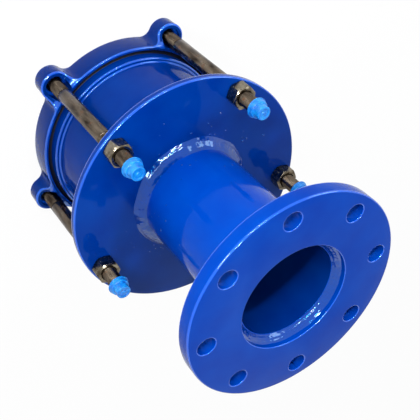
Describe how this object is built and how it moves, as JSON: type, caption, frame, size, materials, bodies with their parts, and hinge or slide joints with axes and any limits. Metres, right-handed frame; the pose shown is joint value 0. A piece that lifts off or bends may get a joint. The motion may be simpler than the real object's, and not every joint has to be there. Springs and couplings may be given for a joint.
{
  "type": "reducing flange adaptor",
  "caption": "Blue enamelled flange adaptor: a drilled flange on a short pipe, a wider sleeve behind a round plate, and a loose gland ring drawn up by studs.",
  "frame": {"origin": "centre of the drilled flange's face, on the axis of the fitting", "axes": "+Z along the axis of the fitting, out of the flange face; +Y through one of the flange's bolt holes"},
  "size_m": [0.2676, 0.27, 0.3431],
  "materials": {
    "enamel": "gloss royal-blue enamel",
    "steel": "dull bronze-grey plated steel",
    "cap_plastic": "soft sky-blue plastic",
    "rubber": "matt black moulded rubber"
  },
  "bodies": {
    "welded_body": {"outlet_flange": "enamel", "spool_pipe": "enamel", "end_plate": "enamel", "socket_sleeve": "enamel", "bore_weld": "enamel", "neck_weld": "enamel", "plate_weld": "enamel", "sleeve_weld": "enamel"},
    "gland_assembly": {"gland_ring": "enamel", "gasket": "rubber", "stud_1": "steel", "stud_2": "steel", "stud_3": "steel", "stud_4": "steel", "stud_5": "steel", "gland_nut_1": "steel", "gland_nut_2": "steel", "gland_nut_3": "steel", "gland_nut_4": "steel", "gland_nut_5": "steel"},
    "plate_nut_1_body": {"plate_nut_1": "steel"},
    "plate_nut_2_body": {"plate_nut_2": "steel"},
    "plate_nut_3_body": {"plate_nut_3": "steel"},
    "plate_nut_4_body": {"plate_nut_4": "steel"},
    "plate_nut_5_body": {"plate_nut_5": "steel"},
    "thread_cap_1_body": {"thread_cap_1": "cap_plastic"},
    "thread_cap_2_body": {"thread_cap_2": "cap_plastic"},
    "thread_cap_3_body": {"thread_cap_3": "cap_plastic"},
    "thread_cap_4_body": {"thread_cap_4": "cap_plastic"},
    "thread_cap_5_body": {"thread_cap_5": "cap_plastic"}
  },
  "joints": [
    {"name": "gland_slide", "type": "slide", "parent": "welded_body", "child": "gland_assembly", "axis": [0, 0, 1], "range_m": [-0.012, 0.008], "deforming": ["gasket"]},
    {"name": "plate_nut_1_turn", "type": "hinge", "parent": "welded_body", "child": "plate_nut_1_body", "pos_m": [-0.00416, 0.11913, -0.1782], "axis": [0, 0, 1], "range_deg": [-1445, 2165]},
    {"name": "plate_nut_2_turn", "type": "hinge", "parent": "welded_body", "child": "plate_nut_2_body", "pos_m": [-0.11458, 0.03286, -0.1782], "axis": [0, 0, 1], "range_deg": [-1445, 2165]},
    {"name": "plate_nut_3_turn", "type": "hinge", "parent": "welded_body", "child": "plate_nut_3_body", "pos_m": [-0.06666, -0.09882, -0.1782], "axis": [0, 0, 1], "range_deg": [-1445, 2165]},
    {"name": "plate_nut_4_turn", "type": "hinge", "parent": "welded_body", "child": "plate_nut_4_body", "pos_m": [0.07339, -0.09393, -0.1782], "axis": [0, 0, 1], "range_deg": [-1445, 2165]},
    {"name": "plate_nut_5_turn", "type": "hinge", "parent": "welded_body", "child": "plate_nut_5_body", "pos_m": [0.11201, 0.04077, -0.1782], "axis": [0, 0, 1], "range_deg": [-1445, 2165]},
    {"name": "thread_cap_1_pull", "type": "slide", "parent": "gland_assembly", "child": "thread_cap_1_body", "axis": [0, 0, 1], "range_m": [0, 0.03]},
    {"name": "thread_cap_2_pull", "type": "slide", "parent": "gland_assembly", "child": "thread_cap_2_body", "axis": [0, 0, 1], "range_m": [0, 0.03]},
    {"name": "thread_cap_3_pull", "type": "slide", "parent": "gland_assembly", "child": "thread_cap_3_body", "axis": [0, 0, 1], "range_m": [0, 0.03]},
    {"name": "thread_cap_4_pull", "type": "slide", "parent": "gland_assembly", "child": "thread_cap_4_body", "axis": [0, 0, 1], "range_m": [0, 0.03]},
    {"name": "thread_cap_5_pull", "type": "slide", "parent": "gland_assembly", "child": "thread_cap_5_body", "axis": [0, 0, 1], "range_m": [0, 0.03]}
  ],
  "couplings": [
    {"joint": "plate_nut_1_turn", "follows": "gland_slide", "rad_per_m": -3141.6},
    {"joint": "plate_nut_2_turn", "follows": "gland_slide", "rad_per_m": -3141.6},
    {"joint": "plate_nut_3_turn", "follows": "gland_slide", "rad_per_m": -3141.6},
    {"joint": "plate_nut_4_turn", "follows": "gland_slide", "rad_per_m": -3141.6},
    {"joint": "plate_nut_5_turn", "follows": "gland_slide", "rad_per_m": -3141.6}
  ]
}
